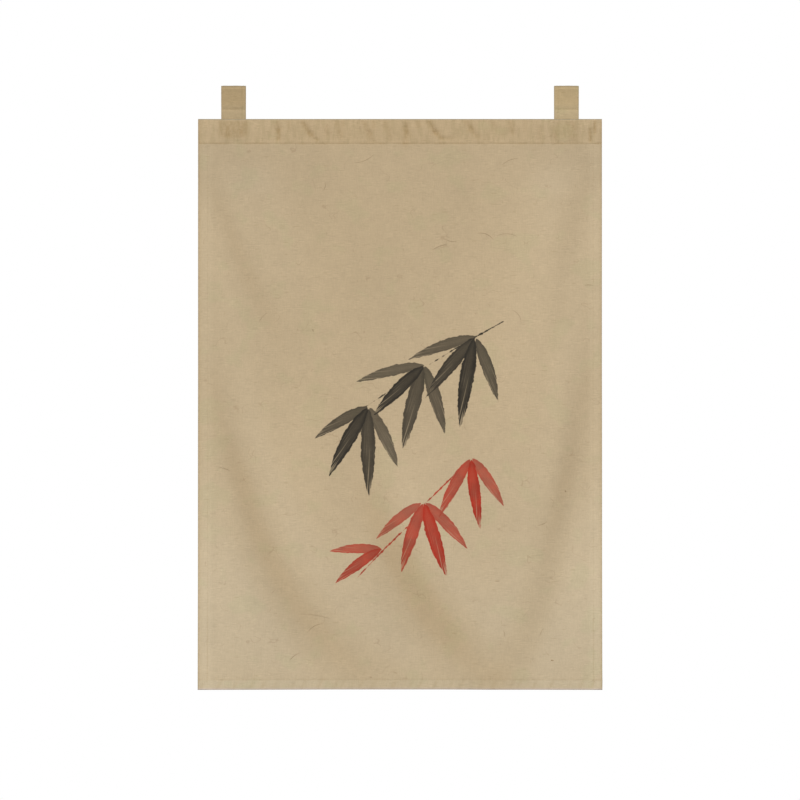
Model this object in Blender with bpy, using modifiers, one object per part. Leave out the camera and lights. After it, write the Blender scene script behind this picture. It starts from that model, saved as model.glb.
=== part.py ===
"""A noren, the short curtain of a Japanese doorway: one hemmed panel of plain cloth, about 85 by 120 cm, that
hangs from two cloth loops. It is modelled as it hangs, with the swags that run down from the two loops.

Metres. x runs to the right as seen from the front, y away from the viewer and z up. The origin is where the
curtain is held: on the axis of the pole that would pass through both loops, midway between them."""

import math
from collections import namedtuple

import bmesh
import bpy
import numpy as np
from mathutils import Matrix

CLOTH = 0.0010
GAP = 0.0003

TAB_WIDTH = 0.052
TAB_THICKNESS = 0.0012
TAB_CENTRE = 0.3503
TAB_RISE = 0.070
TAB_SEAM = 0.0244
TAB_TAIL = 0.048
SEAM_HEIGHT = 0.0016
SEAM_INSET = 0.002
LOOP_RADIUS = 0.0055

PANEL_WIDTH = 0.850
PANEL_HEIGHT = 1.200
HEADER_DEPTH = 0.053
HEADER_SEAM = 0.050
HEADER_GAP = 0.0004
HEADER_FULLNESS = 0.0016
SIDE_HEM = 0.020
BOTTOM_HEM = 0.021
HEM_STEP = 0.001
MOST_LAYERS = 3

# Where the two legs of a loop and the two layers of the header lie, one behind the other.
LEG_Y = (TAB_THICKNESS + GAP) / 2
HEADER_BACK_FACE = -(LEG_Y + TAB_THICKNESS / 2 + GAP)
PANEL_FACE = HEADER_BACK_FACE - 2 * CLOTH - HEADER_GAP

PANEL_TOP = LOOP_RADIUS + TAB_THICKNESS - TAB_RISE
SEAM_Z = PANEL_TOP + TAB_SEAM

COLUMN_SPACING = 0.017
LOWER_ROW_SPACING = 0.024
UPPER_ROW_SPACING = 0.042
LOWER_PART = 0.600
HEADER_ROWS = (0.100, 0.074, 0.057, 0.056, 0.049, 0.038, 0.027, 0.016, 0.006)
FOLD_ANGLES = (20, 55, 90, 125, 160)
ARC_STEPS = 14

# A cross-section of a fold: depth below the top edge, place across from the middle, rise and reach. On a swag's
# slope rise and reach are half its fall and half its width; on a ridge they are its height and half its width.
Section = namedtuple("Section", "depth place rise reach")

# The slope between each swag and the cloth beside it. The swag stands forward on the slope's right where forward is
# 1, and on its left where it is -1.
Swag = namedtuple("Swag", "forward sections")
SWAGS = {
    "from the left loop": Swag(
        1,
        [
            Section(0.30, -0.410, 0.0004, 0.032),
            Section(0.50, -0.388, 0.0016, 0.034),
            Section(0.60, -0.367, 0.0056, 0.036),
            Section(0.70, -0.354, 0.0104, 0.038),
            Section(0.80, -0.326, 0.0106, 0.042),
            Section(0.90, -0.293, 0.0112, 0.048),
            Section(1.00, -0.245, 0.0096, 0.052),
            Section(1.08, -0.194, 0.0064, 0.054),
            Section(1.16, -0.120, 0.0030, 0.052),
            Section(1.24, -0.050, 0.0004, 0.052),
        ],
    ),
    "from the right loop": Swag(
        -1,
        [
            Section(0.22, 0.404, 0.0004, 0.030),
            Section(0.46, 0.392, 0.0020, 0.032),
            Section(0.56, 0.376, 0.0060, 0.034),
            Section(0.62, 0.368, 0.0086, 0.035),
            Section(0.71, 0.359, 0.0102, 0.036),
            Section(0.80, 0.342, 0.0114, 0.038),
            Section(0.89, 0.325, 0.0086, 0.038),
            Section(0.98, 0.303, 0.0080, 0.040),
            Section(1.06, 0.282, 0.0074, 0.040),
            Section(1.14, 0.250, 0.0048, 0.043),
            Section(1.24, 0.213, 0.0010, 0.045),
        ],
    ),
    "in the middle": Swag(
        1,
        [
            Section(0.62, -0.090, 0.0004, 0.036),
            Section(0.76, -0.062, 0.0040, 0.042),
            Section(0.87, -0.034, 0.0092, 0.046),
            Section(0.95, 0.006, 0.0100, 0.048),
            Section(1.02, 0.034, 0.0074, 0.050),
            Section(1.07, 0.076, 0.0058, 0.050),
            Section(1.12, 0.118, 0.0042, 0.050),
            Section(1.17, 0.160, 0.0018, 0.048),
            Section(1.24, 0.207, 0.0004, 0.048),
        ],
    ),
    "beside the left loop": Swag(
        1,
        [
            Section(0.09, -0.402, 0.0000, 0.024),
            Section(0.17, -0.378, 0.0028, 0.026),
            Section(0.28, -0.346, 0.0034, 0.029),
            Section(0.37, -0.312, 0.0024, 0.033),
            Section(0.48, -0.272, 0.0000, 0.038),
        ],
    ),
    "beside the right loop": Swag(
        -1,
        [
            Section(0.09, 0.392, 0.0010, 0.024),
            Section(0.20, 0.370, 0.0030, 0.027),
            Section(0.29, 0.346, 0.0030, 0.029),
            Section(0.40, 0.340, 0.0020, 0.033),
            Section(0.54, 0.330, 0.0000, 0.038),
        ],
    ),
}

RIDGES = {
    "below the right loop": [
        Section(0.04, 0.318, 0.0000, 0.030),
        Section(0.20, 0.306, 0.0080, 0.032),
        Section(0.48, 0.290, 0.0120, 0.040),
        Section(0.75, 0.262, 0.0100, 0.052),
        Section(1.00, 0.225, 0.0060, 0.070),
        Section(1.24, 0.200, 0.0020, 0.080),
    ],
    "below the left loop": [
        Section(0.04, -0.318, 0.0000, 0.032),
        Section(0.18, -0.300, 0.0070, 0.036),
        Section(0.36, -0.262, 0.0095, 0.046),
        Section(0.60, -0.220, 0.0055, 0.066),
        Section(0.90, -0.180, 0.0020, 0.080),
        Section(1.24, -0.150, 0.0000, 0.080),
    ],
    "over the middle swag": [
        Section(0.30, -0.020, 0.0000, 0.070),
        Section(0.60, 0.015, 0.0050, 0.060),
        Section(0.80, 0.050, 0.0105, 0.060),
        Section(1.00, 0.100, 0.0085, 0.060),
        Section(1.24, 0.200, 0.0020, 0.060),
    ],
}

# The free lower corners swing forward, and so does the whole of the cloth a little.
CORNERS = [Section(1.260, -0.450, 0.034, 0.190), Section(1.240, 0.450, 0.034, 0.190)]
BELLY = 0.006
BELLY_LENGTH = 1.4
HANG_START = 0.045
HANG_FADE = 0.12
BEND = 0.05

# Pinches down the header: place across, the share of the header's fullness that each takes away, and its width.
Pinch = namedtuple("Pinch", "place share width")
PINCHES = [
    Pinch(-0.2567, 0.90, 0.012),
    Pinch(-0.1957, 0.55, 0.012),
    Pinch(-0.1178, 0.40, 0.012),
    Pinch(0.0105, 0.95, 0.014),
    Pinch(0.0780, 0.75, 0.012),
    Pinch(0.1430, 0.75, 0.012),
    Pinch(0.2335, 0.35, 0.012),
    Pinch(0.4040, 0.85, 0.010),
]


def smooth(t):
    t = np.clip(t, 0, 1)
    return t * t * (3 - 2 * t)


def between(sections, depth, column):
    """A column of the table at a depth, rounded off where two of its rows meet."""
    depths = [row.depth for row in sections]
    values = [getattr(row, column) for row in sections]
    steps = BEND * np.linspace(-1, 1, 5)
    return sum(np.interp(depth + step, depths, values) for step in steps) / len(steps)


def off_line(sections, place, depth):
    """The distance from a fold's line, as a share of its reach."""
    step = 0.01
    line, above, below = (between(sections, depth + down, "place") for down in (0, -step, step))
    tilt = (below - above) / (2 * step)
    return (place - line) / np.sqrt(1 + tilt**2) / between(sections, depth, "reach")


def relief(place, depth):
    """How far the hanging cloth stands forward of the plane of its top edge."""
    forward = BELLY * smooth((depth - HANG_START) / BELLY_LENGTH)
    for swag in SWAGS.values():
        t = off_line(swag.sections, place, depth)
        rise = between(swag.sections, depth, "rise")
        forward = forward + swag.forward * rise * t * np.exp((1 - t * t) / 2)
    for sections in RIDGES.values():
        t = off_line(sections, place, depth)
        forward = forward + between(sections, depth, "rise") * np.exp(-t * t / 2)
    for corner in CORNERS:
        away = np.hypot(place - corner.place, depth - corner.depth) / corner.reach
        forward = forward + corner.rise * np.exp(-away * away / 2)
    return forward * smooth((depth - HANG_START) / HANG_FADE)


def fullness(place, depth):
    """How far the front of the turned header stands off its back: most at the fold, nothing at its seam."""
    full = HEADER_FULLNESS
    for pinch in PINCHES:
        full = full * (1 - pinch.share * np.exp(-(((place - pinch.place) / pinch.width) ** 2)))
    return full * smooth((HEADER_SEAM - depth) / 0.03)


def panel_columns():
    half = PANEL_WIDTH / 2
    hem = half - SIDE_HEM
    fixed = [-half, -hem - HEM_STEP, -hem, hem, hem + HEM_STEP, half] + [pinch.place for pinch in PINCHES]
    spread = np.linspace(-hem, hem, round(2 * hem / COLUMN_SPACING) + 1)
    clear = [x for x in spread if min(abs(x - other) for other in fixed) > COLUMN_SPACING / 3]
    return np.array(sorted(fixed + clear))


def panel_depths():
    """The depths of the front's rows, from the bottom edge up to the fold."""
    hem = PANEL_HEIGHT - BOTTOM_HEM
    lower = np.linspace(hem, LOWER_PART, round((hem - LOWER_PART) / LOWER_ROW_SPACING) + 1)
    upper = np.linspace(LOWER_PART, HEADER_ROWS[0], round((LOWER_PART - HEADER_ROWS[0]) / UPPER_ROW_SPACING) + 1)
    return np.concatenate([[PANEL_HEIGHT, hem + HEM_STEP], lower, upper[1:], HEADER_ROWS[1:]])


def grid_object(name, points, material):
    """An open sheet through a grid of points (stations, columns, 3), facing the side from which the columns run
    right as the stations run up."""
    stations, columns = points.shape[:2]
    bm = bmesh.new()
    bmesh.ops.create_grid(bm, x_segments=columns - 1, y_segments=stations - 1, size=0.5)
    bm.verts.index_update()
    spots = []
    for vertex in bm.verts:
        spot = (round((vertex.co.y + 0.5) * (stations - 1)), round((vertex.co.x + 0.5) * (columns - 1)))
        vertex.co = points[spot]
        spots.append(spot)
    mesh = bpy.data.meshes.new(name)
    bm.to_mesh(mesh)
    bm.free()
    mesh.shade_smooth()
    mesh.materials.append(material)
    return bpy.data.objects.new(name, mesh), spots


def make_panel(material):
    """The panel's outer face, up the front, over the header's fold and down its back, thickened inwards."""
    place, depth = np.meshgrid(panel_columns(), panel_depths())
    front_y = PANEL_FACE - relief(place, depth) - fullness(place, depth)
    front = np.stack([place, front_y, PANEL_TOP - depth], axis=-1)

    x = place[0]
    radius = (HEADER_BACK_FACE - front_y[-1]) / 2
    fold = []
    for angle in np.radians(FOLD_ANGLES):
        y = HEADER_BACK_FACE - radius * (1 + math.cos(angle))
        fold.append(np.stack([x, y, PANEL_TOP - radius * (1 - math.sin(angle))], axis=-1))

    back = []
    for depth_behind in (HEADER_ROWS[-1], HEADER_DEPTH / 2, HEADER_DEPTH):
        edge = np.ones(len(x))
        back.append(np.stack([x, HEADER_BACK_FACE * edge, (PANEL_TOP - depth_behind) * edge], axis=-1))

    panel, spots = grid_object("panel", np.concatenate([front, fold, back]), material)
    side_hem = (np.abs(place) > PANEL_WIDTH / 2 - SIDE_HEM + HEM_STEP / 2) & (depth > HEADER_DEPTH + HEM_STEP * 3.5)
    bottom_hem = depth > PANEL_HEIGHT - BOTTOM_HEM + HEM_STEP / 2
    front_layers = 1 + side_hem + bottom_hem
    group = panel.vertex_groups.new(name="layers")
    for index, (station, column) in enumerate(spots):
        layers = front_layers[station, column] if station < len(front_layers) else 1
        group.add([index], layers / MOST_LAYERS, "REPLACE")
    solidify = panel.modifiers.new("cloth", "SOLIDIFY")
    solidify.thickness = CLOTH * MOST_LAYERS
    solidify.offset = -1
    solidify.vertex_group = group.name
    return panel


def tab_path():
    """(y, z) along the strip's middle: up the front leg, round the place of the pole and down the back leg."""
    radius = LOOP_RADIUS + TAB_THICKNESS / 2
    seam = np.array([-LEG_Y, SEAM_Z])
    touch_angle = math.atan2(SEAM_Z, -LEG_Y) - math.acos(radius / math.hypot(LEG_Y, SEAM_Z))
    touch = radius * np.array([math.cos(touch_angle), math.sin(touch_angle)])
    crown_angle = math.pi / 2 - 2 * math.pi
    leg = [(-LEG_Y, z) for z in np.linspace(PANEL_TOP - TAB_TAIL, SEAM_Z, 10)]
    slant = [tuple(seam + (touch - seam) * share) for share in (0.12, 0.4, 0.7, 1.0)]
    arc = [(radius * math.cos(a), radius * math.sin(a)) for a in np.linspace(touch_angle, crown_angle, ARC_STEPS)]
    rising = leg + slant + arc[1:]
    return rising + [(-y, z) for y, z in reversed(rising[:-1])]


def make_seam(name, centre):
    """The stitching across the two legs, which closes the loop."""
    bm = bmesh.new()
    size = (TAB_WIDTH - 2 * SEAM_INSET, 2 * LEG_Y, SEAM_HEIGHT)
    place = Matrix.Translation((centre, 0, SEAM_Z - SEAM_HEIGHT / 2)) @ Matrix.Diagonal((*size, 1))
    bmesh.ops.create_cube(bm, size=1, matrix=place)
    mesh = bpy.data.meshes.new(name)
    bm.to_mesh(mesh)
    bm.free()
    seam = bpy.data.objects.new(name, mesh)
    seam.hide_render = True
    seam.display_type = "WIRE"
    return seam


def make_tab(name, centre, seam, material):
    across = centre + TAB_WIDTH * np.linspace(-0.5, 0.5, 5)
    points = np.array([[(x, y, z) for x in across] for y, z in tab_path()])
    tab, _ = grid_object(name, points, material)
    solidify = tab.modifiers.new("cloth", "SOLIDIFY")
    solidify.thickness = TAB_THICKNESS
    solidify.offset = 0
    union = tab.modifiers.new("seam", "BOOLEAN")
    union.operation = "UNION"
    union.solver = "EXACT"
    union.object = seam
    return tab


def cloth_material(name, colour):
    material = bpy.data.materials.new(name)
    material.use_nodes = True
    shader = material.node_tree.nodes["Principled BSDF"]
    shader.inputs["Base Color"].default_value = (*colour, 1)
    shader.inputs["Roughness"].default_value = 0.9
    return material


def collection(name):
    made = bpy.data.collections.new(name)
    bpy.context.scene.collection.children.link(made)
    return made


for old in list(bpy.data.objects):
    bpy.data.objects.remove(old)

noren = collection("noren")
cutters = collection("cutters")
cutters.hide_render = True

noren.objects.link(make_panel(cloth_material("panel_cloth", (0.503, 0.389, 0.237))))

for side, centre in (("left", -TAB_CENTRE), ("right", TAB_CENTRE)):
    seam = make_seam(f"seam_{side}", centre)
    cutters.objects.link(seam)
    tab_cloth = cloth_material(f"tab_{side}_cloth", (0.418, 0.301, 0.165))
    noren.objects.link(make_tab(f"tab_{side}", centre, seam, tab_cloth))
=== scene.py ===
"""The looks of a noren that hangs from its two cloth loops: cloth with folds, hems and stitches, and light.

Metres, in the frame of the solids: x to the right as seen from the front, y away from the viewer, z up, and
the origin midway between the loops, where the axis of a pole through both would run. A place on the cloth is
given by place, across from the middle, and depth, down from the top edge."""

import math
import random
from collections import namedtuple

import bmesh
import bpy
import numpy as np
from mathutils import Matrix, Vector


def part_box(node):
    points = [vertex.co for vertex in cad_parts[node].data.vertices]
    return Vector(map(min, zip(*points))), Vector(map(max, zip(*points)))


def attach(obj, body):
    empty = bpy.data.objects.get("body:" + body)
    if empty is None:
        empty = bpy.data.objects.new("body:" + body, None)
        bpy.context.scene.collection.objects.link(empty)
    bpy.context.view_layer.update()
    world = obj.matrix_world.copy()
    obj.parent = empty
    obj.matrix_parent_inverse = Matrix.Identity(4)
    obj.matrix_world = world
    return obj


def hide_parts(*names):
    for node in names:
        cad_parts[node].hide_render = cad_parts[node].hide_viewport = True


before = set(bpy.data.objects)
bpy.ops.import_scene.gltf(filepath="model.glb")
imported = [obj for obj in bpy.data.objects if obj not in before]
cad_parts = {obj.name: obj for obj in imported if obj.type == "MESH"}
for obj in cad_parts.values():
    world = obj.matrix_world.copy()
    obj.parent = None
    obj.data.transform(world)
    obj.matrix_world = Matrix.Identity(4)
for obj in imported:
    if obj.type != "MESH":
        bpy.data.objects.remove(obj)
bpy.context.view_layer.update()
panel_low, panel_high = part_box("panel")

PANEL_WIDTH = 0.850
PANEL_TOP = panel_high[2]
PANEL_HEIGHT = panel_high[2] - panel_low[2]
CLOTH = 0.0008
HEADER_DEPTH = 0.053
HEADER_SEAM = 0.0516
FOLD_LENGTH = 0.004
SIDE_HEM_LEFT = 0.0202
SIDE_HEM_RIGHT = 0.0186
BOTTOM_HEM = 0.0206
HEADER_FULLNESS = 0.0009
FOLD_FULLNESS = 0.0005
TAIL_PRINT = 0.0007
MOST_LAYERS = 3

TAB_WIDTH = 0.052
STRAP = 0.0010
TAB_CENTRE = 0.3503
TAB_SEAM = 0.0210
LOOP_RADIUS = 0.0061
LEG_MEETS_LOOP_DEGREES = 188
TAB_TAIL = 0.048
LEG_Y = 0.00075
STRAP_JOIN = 0.0085
STRAP_FLAT_START = 2

HEADER_BACK_FACE = -0.00165
PANEL_FACE = -0.00405
SEAM_Z = PANEL_TOP + TAB_SEAM

STITCH_PITCH = 0.0032
STITCH_LENGTH = 0.0023
STITCH_LIFT = 0.0001
THREAD = 0.00042

# How deep each seam sinks into the cloth, how wide its groove is, and how high and how wide its puckers are.
Seam = namedtuple("Seam", "fall reach pucker pucker_reach")
HEADER_STITCHING = Seam(0.0003, 0.0016, 0.00016, 0.008)
SIDE_STITCHING = Seam(0.00012, 0.0012, 0.00014, 0.010)
BOTTOM_STITCHING = Seam(0.00012, 0.0013, 0.00028, 0.013)

CAMERA_LENS = 400
SENSOR = 36
VIEW_WIDTH = 1.6837
VIEW_CENTRE_BELOW_TOP = 0.5914
FLOOR_BELOW = 2.1
FLOOR_RADIUS = 1.5
AMBIENT = 0.24
BACKDROP = 1.0

CLOTH_ROUGHNESS = 0.92
CLOTH_SPECULAR = 0.25
FACE_COLOUR = (0.496, 0.381, 0.236)
BACK_COLOUR = (0.490, 0.376, 0.232)
LEFT_STRAP_COLOUR = (0.450, 0.342, 0.198)
RIGHT_STRAP_COLOUR = (0.500, 0.387, 0.226)
FACE_PRINT = 0.97
BACK_PRINT = 0.25
THREAD_COLOUR = (0.42, 0.31, 0.17)
FIBRE_COLOUR = (0.365, 0.262, 0.150)
HAIR_COLOUR = (0.33, 0.22, 0.13)
SPECK_COLOUR = (0.30, 0.21, 0.10)
FLOOR_COLOUR = (0.60, 0.595, 0.58)

# Tints, as factors for red, green and blue.
GREENISH_TINT = (0.970, 1.000, 0.975)
SIDE_HEM_TINT = (1.056, 1.066, 1.076)
BOTTOM_HEM_TINT = (1.012, 1.040, 1.065)
BOTTOM_EDGE_TINT = (1.040, 1.030, 1.200)
HEADER_TINT = (1.022, 0.994, 0.945)
STREAK_TINT = (0.925, 0.930, 0.905)
# Painted shade on the header's top fold, bluer and darker.
FOLD_PAINTED_SHADE_TINT = (0.430, 0.500, 0.590)
# Painted light towards the sides.
SIDES_PAINTED_LIGHT_TINT = (1.014, 1.028, 1.048)
LOWER_TINT = (0.985, 1.000, 1.020)
# Painted shade over the lowest part.
LOWEST_PAINTED_SHADE_TINT = (0.965, 0.970, 0.975)
# Painted shade, warmer, where the folds face down, and painted light, cooler, where they face up.
FACING_DOWN_PAINTED_SHADE_TINT = (1.022, 0.990, 0.945)
FACING_UP_PAINTED_LIGHT_TINT = (0.992, 1.008, 1.040)
# Painted shade, laid over the creases, seams, straps' ends, bottom hem waves and side edges.
PAINTED_SHADE_TINT = (0.800, 0.755, 0.665)
# Painted light on the strap above its seam, and painted shade towards its crown and at the crown.
STRAP_PAINTED_LIGHT_TINT = (1.075, 1.045, 0.985)
STRAP_TOP_PAINTED_SHADE_TINT = (0.930, 0.930, 0.930)
CROWN_PAINTED_SHADE_TINT = (0.530, 0.535, 0.545)

# The hanging folds, each a list of sections: the depth and place of its line, how far the cloth stands off
# beside it, and how far across that reaches. A swag of forward 1 stands forward to the right of its line and
# back to the left of it, and one of -1 the other way round. A ridge stands forward along its line.
Section = namedtuple("Section", "depth place rise reach")
Swag = namedtuple("Swag", "forward sections")
SWAGS = {
    "from the left loop": Swag(
        1,
        [
            Section(0.30, -0.410, 0.0004, 0.032),
            Section(0.50, -0.388, 0.0016, 0.034),
            Section(0.60, -0.367, 0.0056, 0.036),
            Section(0.70, -0.354, 0.0104, 0.038),
            Section(0.80, -0.326, 0.0106, 0.042),
            Section(0.90, -0.293, 0.0112, 0.048),
            Section(1.00, -0.245, 0.0096, 0.052),
            Section(1.08, -0.194, 0.0064, 0.054),
            Section(1.16, -0.120, 0.0030, 0.052),
            Section(1.24, -0.050, 0.0004, 0.052),
        ],
    ),
    "from the right loop": Swag(
        -1,
        [
            Section(0.22, 0.404, 0.0004, 0.030),
            Section(0.46, 0.392, 0.0020, 0.032),
            Section(0.56, 0.376, 0.0060, 0.034),
            Section(0.62, 0.368, 0.0086, 0.035),
            Section(0.71, 0.359, 0.0102, 0.036),
            Section(0.80, 0.342, 0.0114, 0.038),
            Section(0.89, 0.325, 0.0086, 0.038),
            Section(0.98, 0.303, 0.0080, 0.040),
            Section(1.06, 0.282, 0.0074, 0.040),
            Section(1.14, 0.250, 0.0048, 0.043),
            Section(1.24, 0.213, 0.0010, 0.045),
        ],
    ),
    "in the middle": Swag(
        1,
        [
            Section(0.62, -0.090, 0.0004, 0.036),
            Section(0.76, -0.062, 0.0040, 0.042),
            Section(0.87, -0.034, 0.0092, 0.046),
            Section(0.95, 0.006, 0.0100, 0.048),
            Section(1.02, 0.034, 0.0074, 0.050),
            Section(1.07, 0.076, 0.0058, 0.050),
            Section(1.12, 0.118, 0.0042, 0.050),
            Section(1.17, 0.160, 0.0018, 0.048),
            Section(1.24, 0.207, 0.0004, 0.048),
        ],
    ),
    "beside the left loop": Swag(
        1,
        [
            Section(0.09, -0.402, 0.0000, 0.024),
            Section(0.17, -0.378, 0.0028, 0.026),
            Section(0.28, -0.346, 0.0034, 0.029),
            Section(0.37, -0.312, 0.0024, 0.033),
            Section(0.48, -0.272, 0.0000, 0.038),
        ],
    ),
    "beside the right loop": Swag(
        -1,
        [
            Section(0.09, 0.392, 0.0010, 0.024),
            Section(0.20, 0.370, 0.0030, 0.027),
            Section(0.29, 0.346, 0.0030, 0.029),
            Section(0.40, 0.340, 0.0020, 0.033),
            Section(0.54, 0.330, 0.0000, 0.038),
        ],
    ),
}

RIDGES = {
    "below the right loop": [
        Section(0.04, 0.318, 0.0000, 0.030),
        Section(0.20, 0.306, 0.0080, 0.032),
        Section(0.48, 0.290, 0.0120, 0.040),
        Section(0.75, 0.262, 0.0100, 0.052),
        Section(1.00, 0.225, 0.0060, 0.070),
        Section(1.24, 0.200, 0.0020, 0.080),
    ],
    "below the left loop": [
        Section(0.04, -0.318, 0.0000, 0.032),
        Section(0.18, -0.300, 0.0070, 0.036),
        Section(0.36, -0.262, 0.0095, 0.046),
        Section(0.60, -0.220, 0.0055, 0.066),
        Section(0.90, -0.180, 0.0020, 0.080),
        Section(1.24, -0.150, 0.0000, 0.080),
    ],
    "over the middle swag": [
        Section(0.30, -0.020, 0.0000, 0.070),
        Section(0.60, 0.015, 0.0050, 0.060),
        Section(0.80, 0.050, 0.0105, 0.060),
        Section(1.00, 0.100, 0.0085, 0.060),
        Section(1.24, 0.200, 0.0020, 0.060),
    ],
}

CORNERS = [Section(1.260, -0.450, 0.034, 0.190), Section(1.240, 0.450, 0.034, 0.190)]
BELLY = 0.006
BELLY_LENGTH = 1.4
HANG_START = 0.045
HANG_FADE = 0.12
BEND = 0.05
LEAN_SHOWN = 0.18

# Pinches down the header: place across, the share of the header's fullness that each takes away, and width.
Pinch = namedtuple("Pinch", "place share width")
PINCHES = [
    Pinch(-0.2567, 0.90, 0.006),
    Pinch(-0.1957, 0.50, 0.008),
    Pinch(-0.1178, 0.35, 0.007),
    Pinch(-0.0725, 0.30, 0.006),
    Pinch(0.0105, 0.95, 0.009),
    Pinch(0.0780, 0.60, 0.009),
    Pinch(0.1430, 0.60, 0.009),
    Pinch(0.1999, 0.30, 0.006),
    Pinch(0.2385, 0.35, 0.007),
    Pinch(0.4000, 0.80, 0.005),
    Pinch(0.4090, 0.70, 0.004),
]

# Creases sunk into the header: where each starts and ends, how deep it is, its half width and how dark the
# shade painted along it is.
Crease = namedtuple("Crease", "place depth end_place end_depth fall reach dark")
CREASES = [
    Crease(-0.3787, 0.004, -0.3760, 0.028, 0.0004, 0.0050, 0.41),
    Crease(-0.3626, 0.018, -0.3626, 0.034, 0.0005, 0.0026, 0.54),
    Crease(-0.3350, 0.020, -0.3350, 0.029, 0.0006, 0.0020, 1.00),
    Crease(-0.3246, 0.006, -0.3250, 0.030, 0.0005, 0.0034, 0.54),
    Crease(-0.4080, 0.004, -0.4085, 0.018, 0.0003, 0.0018, 0.24),
    Crease(-0.2590, 0.003, -0.2570, 0.020, 0.0006, 0.0058, 0.46),
    Crease(-0.2562, 0.021, -0.2558, 0.042, 0.0008, 0.0036, 1.00),
    Crease(-0.2342, 0.005, -0.2340, 0.018, 0.0004, 0.0036, 0.34),
    Crease(-0.2040, 0.008, -0.1900, 0.030, 0.0008, 0.0046, 0.84),
    Crease(-0.1900, 0.030, -0.1740, 0.044, 0.0006, 0.0036, 0.61),
    Crease(-0.1540, 0.016, -0.1535, 0.032, 0.0004, 0.0048, 0.31),
    Crease(-0.1330, 0.008, -0.1240, 0.036, 0.0005, 0.0058, 0.41),
    Crease(-0.1201, 0.004, -0.1200, 0.014, 0.0003, 0.0026, 0.41),
    Crease(-0.0766, 0.006, -0.0640, 0.030, 0.0006, 0.0052, 0.49),
    Crease(-0.0640, 0.030, -0.0585, 0.047, 0.0005, 0.0058, 0.34),
    Crease(-0.0557, 0.006, -0.0555, 0.016, 0.0004, 0.0034, 0.54),
    Crease(-0.0315, 0.004, -0.0310, 0.016, 0.0005, 0.0050, 0.46),
    Crease(-0.0230, 0.020, -0.0210, 0.042, 0.0004, 0.0056, 0.26),
    Crease(0.0110, 0.006, 0.0120, 0.050, 0.0008, 0.0064, 0.49),
    Crease(0.0125, 0.018, 0.0160, 0.034, 0.0006, 0.0044, 0.54),
    Crease(0.0377, 0.004, 0.0380, 0.014, 0.0004, 0.0052, 0.49),
    Crease(0.0610, 0.006, 0.0750, 0.028, 0.0009, 0.0052, 0.84),
    Crease(0.0750, 0.028, 0.0870, 0.040, 0.0007, 0.0040, 0.68),
    Crease(0.0870, 0.040, 0.1080, 0.042, 0.0005, 0.0030, 0.46),
    Crease(0.1370, 0.002, 0.1490, 0.020, 0.0007, 0.0050, 0.68),
    Crease(0.1490, 0.020, 0.1640, 0.038, 0.0006, 0.0044, 0.51),
    Crease(0.1964, 0.004, 0.1960, 0.022, 0.0004, 0.0060, 0.29),
    Crease(0.2335, 0.008, 0.2372, 0.028, 0.0005, 0.0050, 0.57),
    Crease(0.2640, 0.006, 0.2640, 0.024, 0.0003, 0.0056, 0.19),
    Crease(0.2940, 0.020, 0.2950, 0.042, 0.0004, 0.0060, 0.29),
    Crease(0.3260, 0.018, 0.3270, 0.042, 0.0004, 0.0064, 0.31),
    Crease(0.3640, 0.014, 0.3670, 0.042, 0.0004, 0.0090, 0.31),
    Crease(0.4001, 0.022, 0.4003, 0.046, 0.0011, 0.0027, 1.00),
    Crease(0.4098, 0.007, 0.4098, 0.029, 0.0011, 0.0027, 1.00),
]

# The printed leaves: foot, heading in degrees from straight down and positive to the right, size, curve and
# how much ink the brush held.
Leaf = namedtuple("Leaf", "place depth heading length width bend wash")
DARK_INK = (0.013, 0.012, 0.010)
DARK_LEAVES = [
    Leaf(0.222, 0.424, -62, 0.200, 0.0050, 0.04, 1.00),
    Leaf(0.060, 0.512, -52, 0.170, 0.0045, -0.05, 0.95),
    Leaf(0.160, 0.458, -78, 0.150, 0.0240, 0.12, 0.85),
    Leaf(0.158, 0.460, -44, 0.165, 0.0290, 0.08, 0.97),
    Leaf(0.156, 0.462, -12, 0.190, 0.0320, 0.05, 1.00),
    Leaf(0.160, 0.462, 24, 0.140, 0.0260, -0.08, 0.89),
    Leaf(0.052, 0.518, -84, 0.150, 0.0230, 0.14, 0.83),
    Leaf(0.050, 0.520, -50, 0.150, 0.0280, 0.08, 1.00),
    Leaf(0.048, 0.522, -16, 0.180, 0.0330, 0.04, 0.92),
    Leaf(0.052, 0.520, 20, 0.150, 0.0270, -0.06, 0.87),
    Leaf(-0.068, 0.606, -66, 0.130, 0.0240, 0.12, 0.89),
    Leaf(-0.068, 0.608, -34, 0.165, 0.0300, 0.08, 1.00),
    Leaf(-0.066, 0.610, -2, 0.185, 0.0320, 0.04, 0.95),
    Leaf(-0.064, 0.608, 30, 0.140, 0.0260, -0.08, 0.83),
]
RED_INK = (0.345, 0.016, 0.005)
RED_LEAVES = [
    Leaf(-0.092, 0.968, 138, 0.190, 0.0050, -0.05, 0.97),
    Leaf(0.034, 0.826, 132, 0.170, 0.0045, 0.05, 0.95),
    Leaf(0.150, 0.716, 4, 0.150, 0.0260, 0.06, 1.00),
    Leaf(0.152, 0.714, 38, 0.120, 0.0240, -0.08, 0.86),
    Leaf(0.148, 0.716, -34, 0.140, 0.0250, 0.10, 0.92),
    Leaf(0.052, 0.810, 14, 0.160, 0.0300, 0.05, 1.00),
    Leaf(0.054, 0.808, 48, 0.130, 0.0250, -0.10, 0.88),
    Leaf(0.048, 0.810, -22, 0.150, 0.0280, 0.08, 0.93),
    Leaf(0.044, 0.808, -58, 0.120, 0.0230, 0.12, 0.85),
    Leaf(-0.040, 0.905, -60, 0.120, 0.0230, 0.12, 0.96),
    Leaf(-0.038, 0.906, -96, 0.110, 0.0210, 0.14, 0.87),
]

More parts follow.
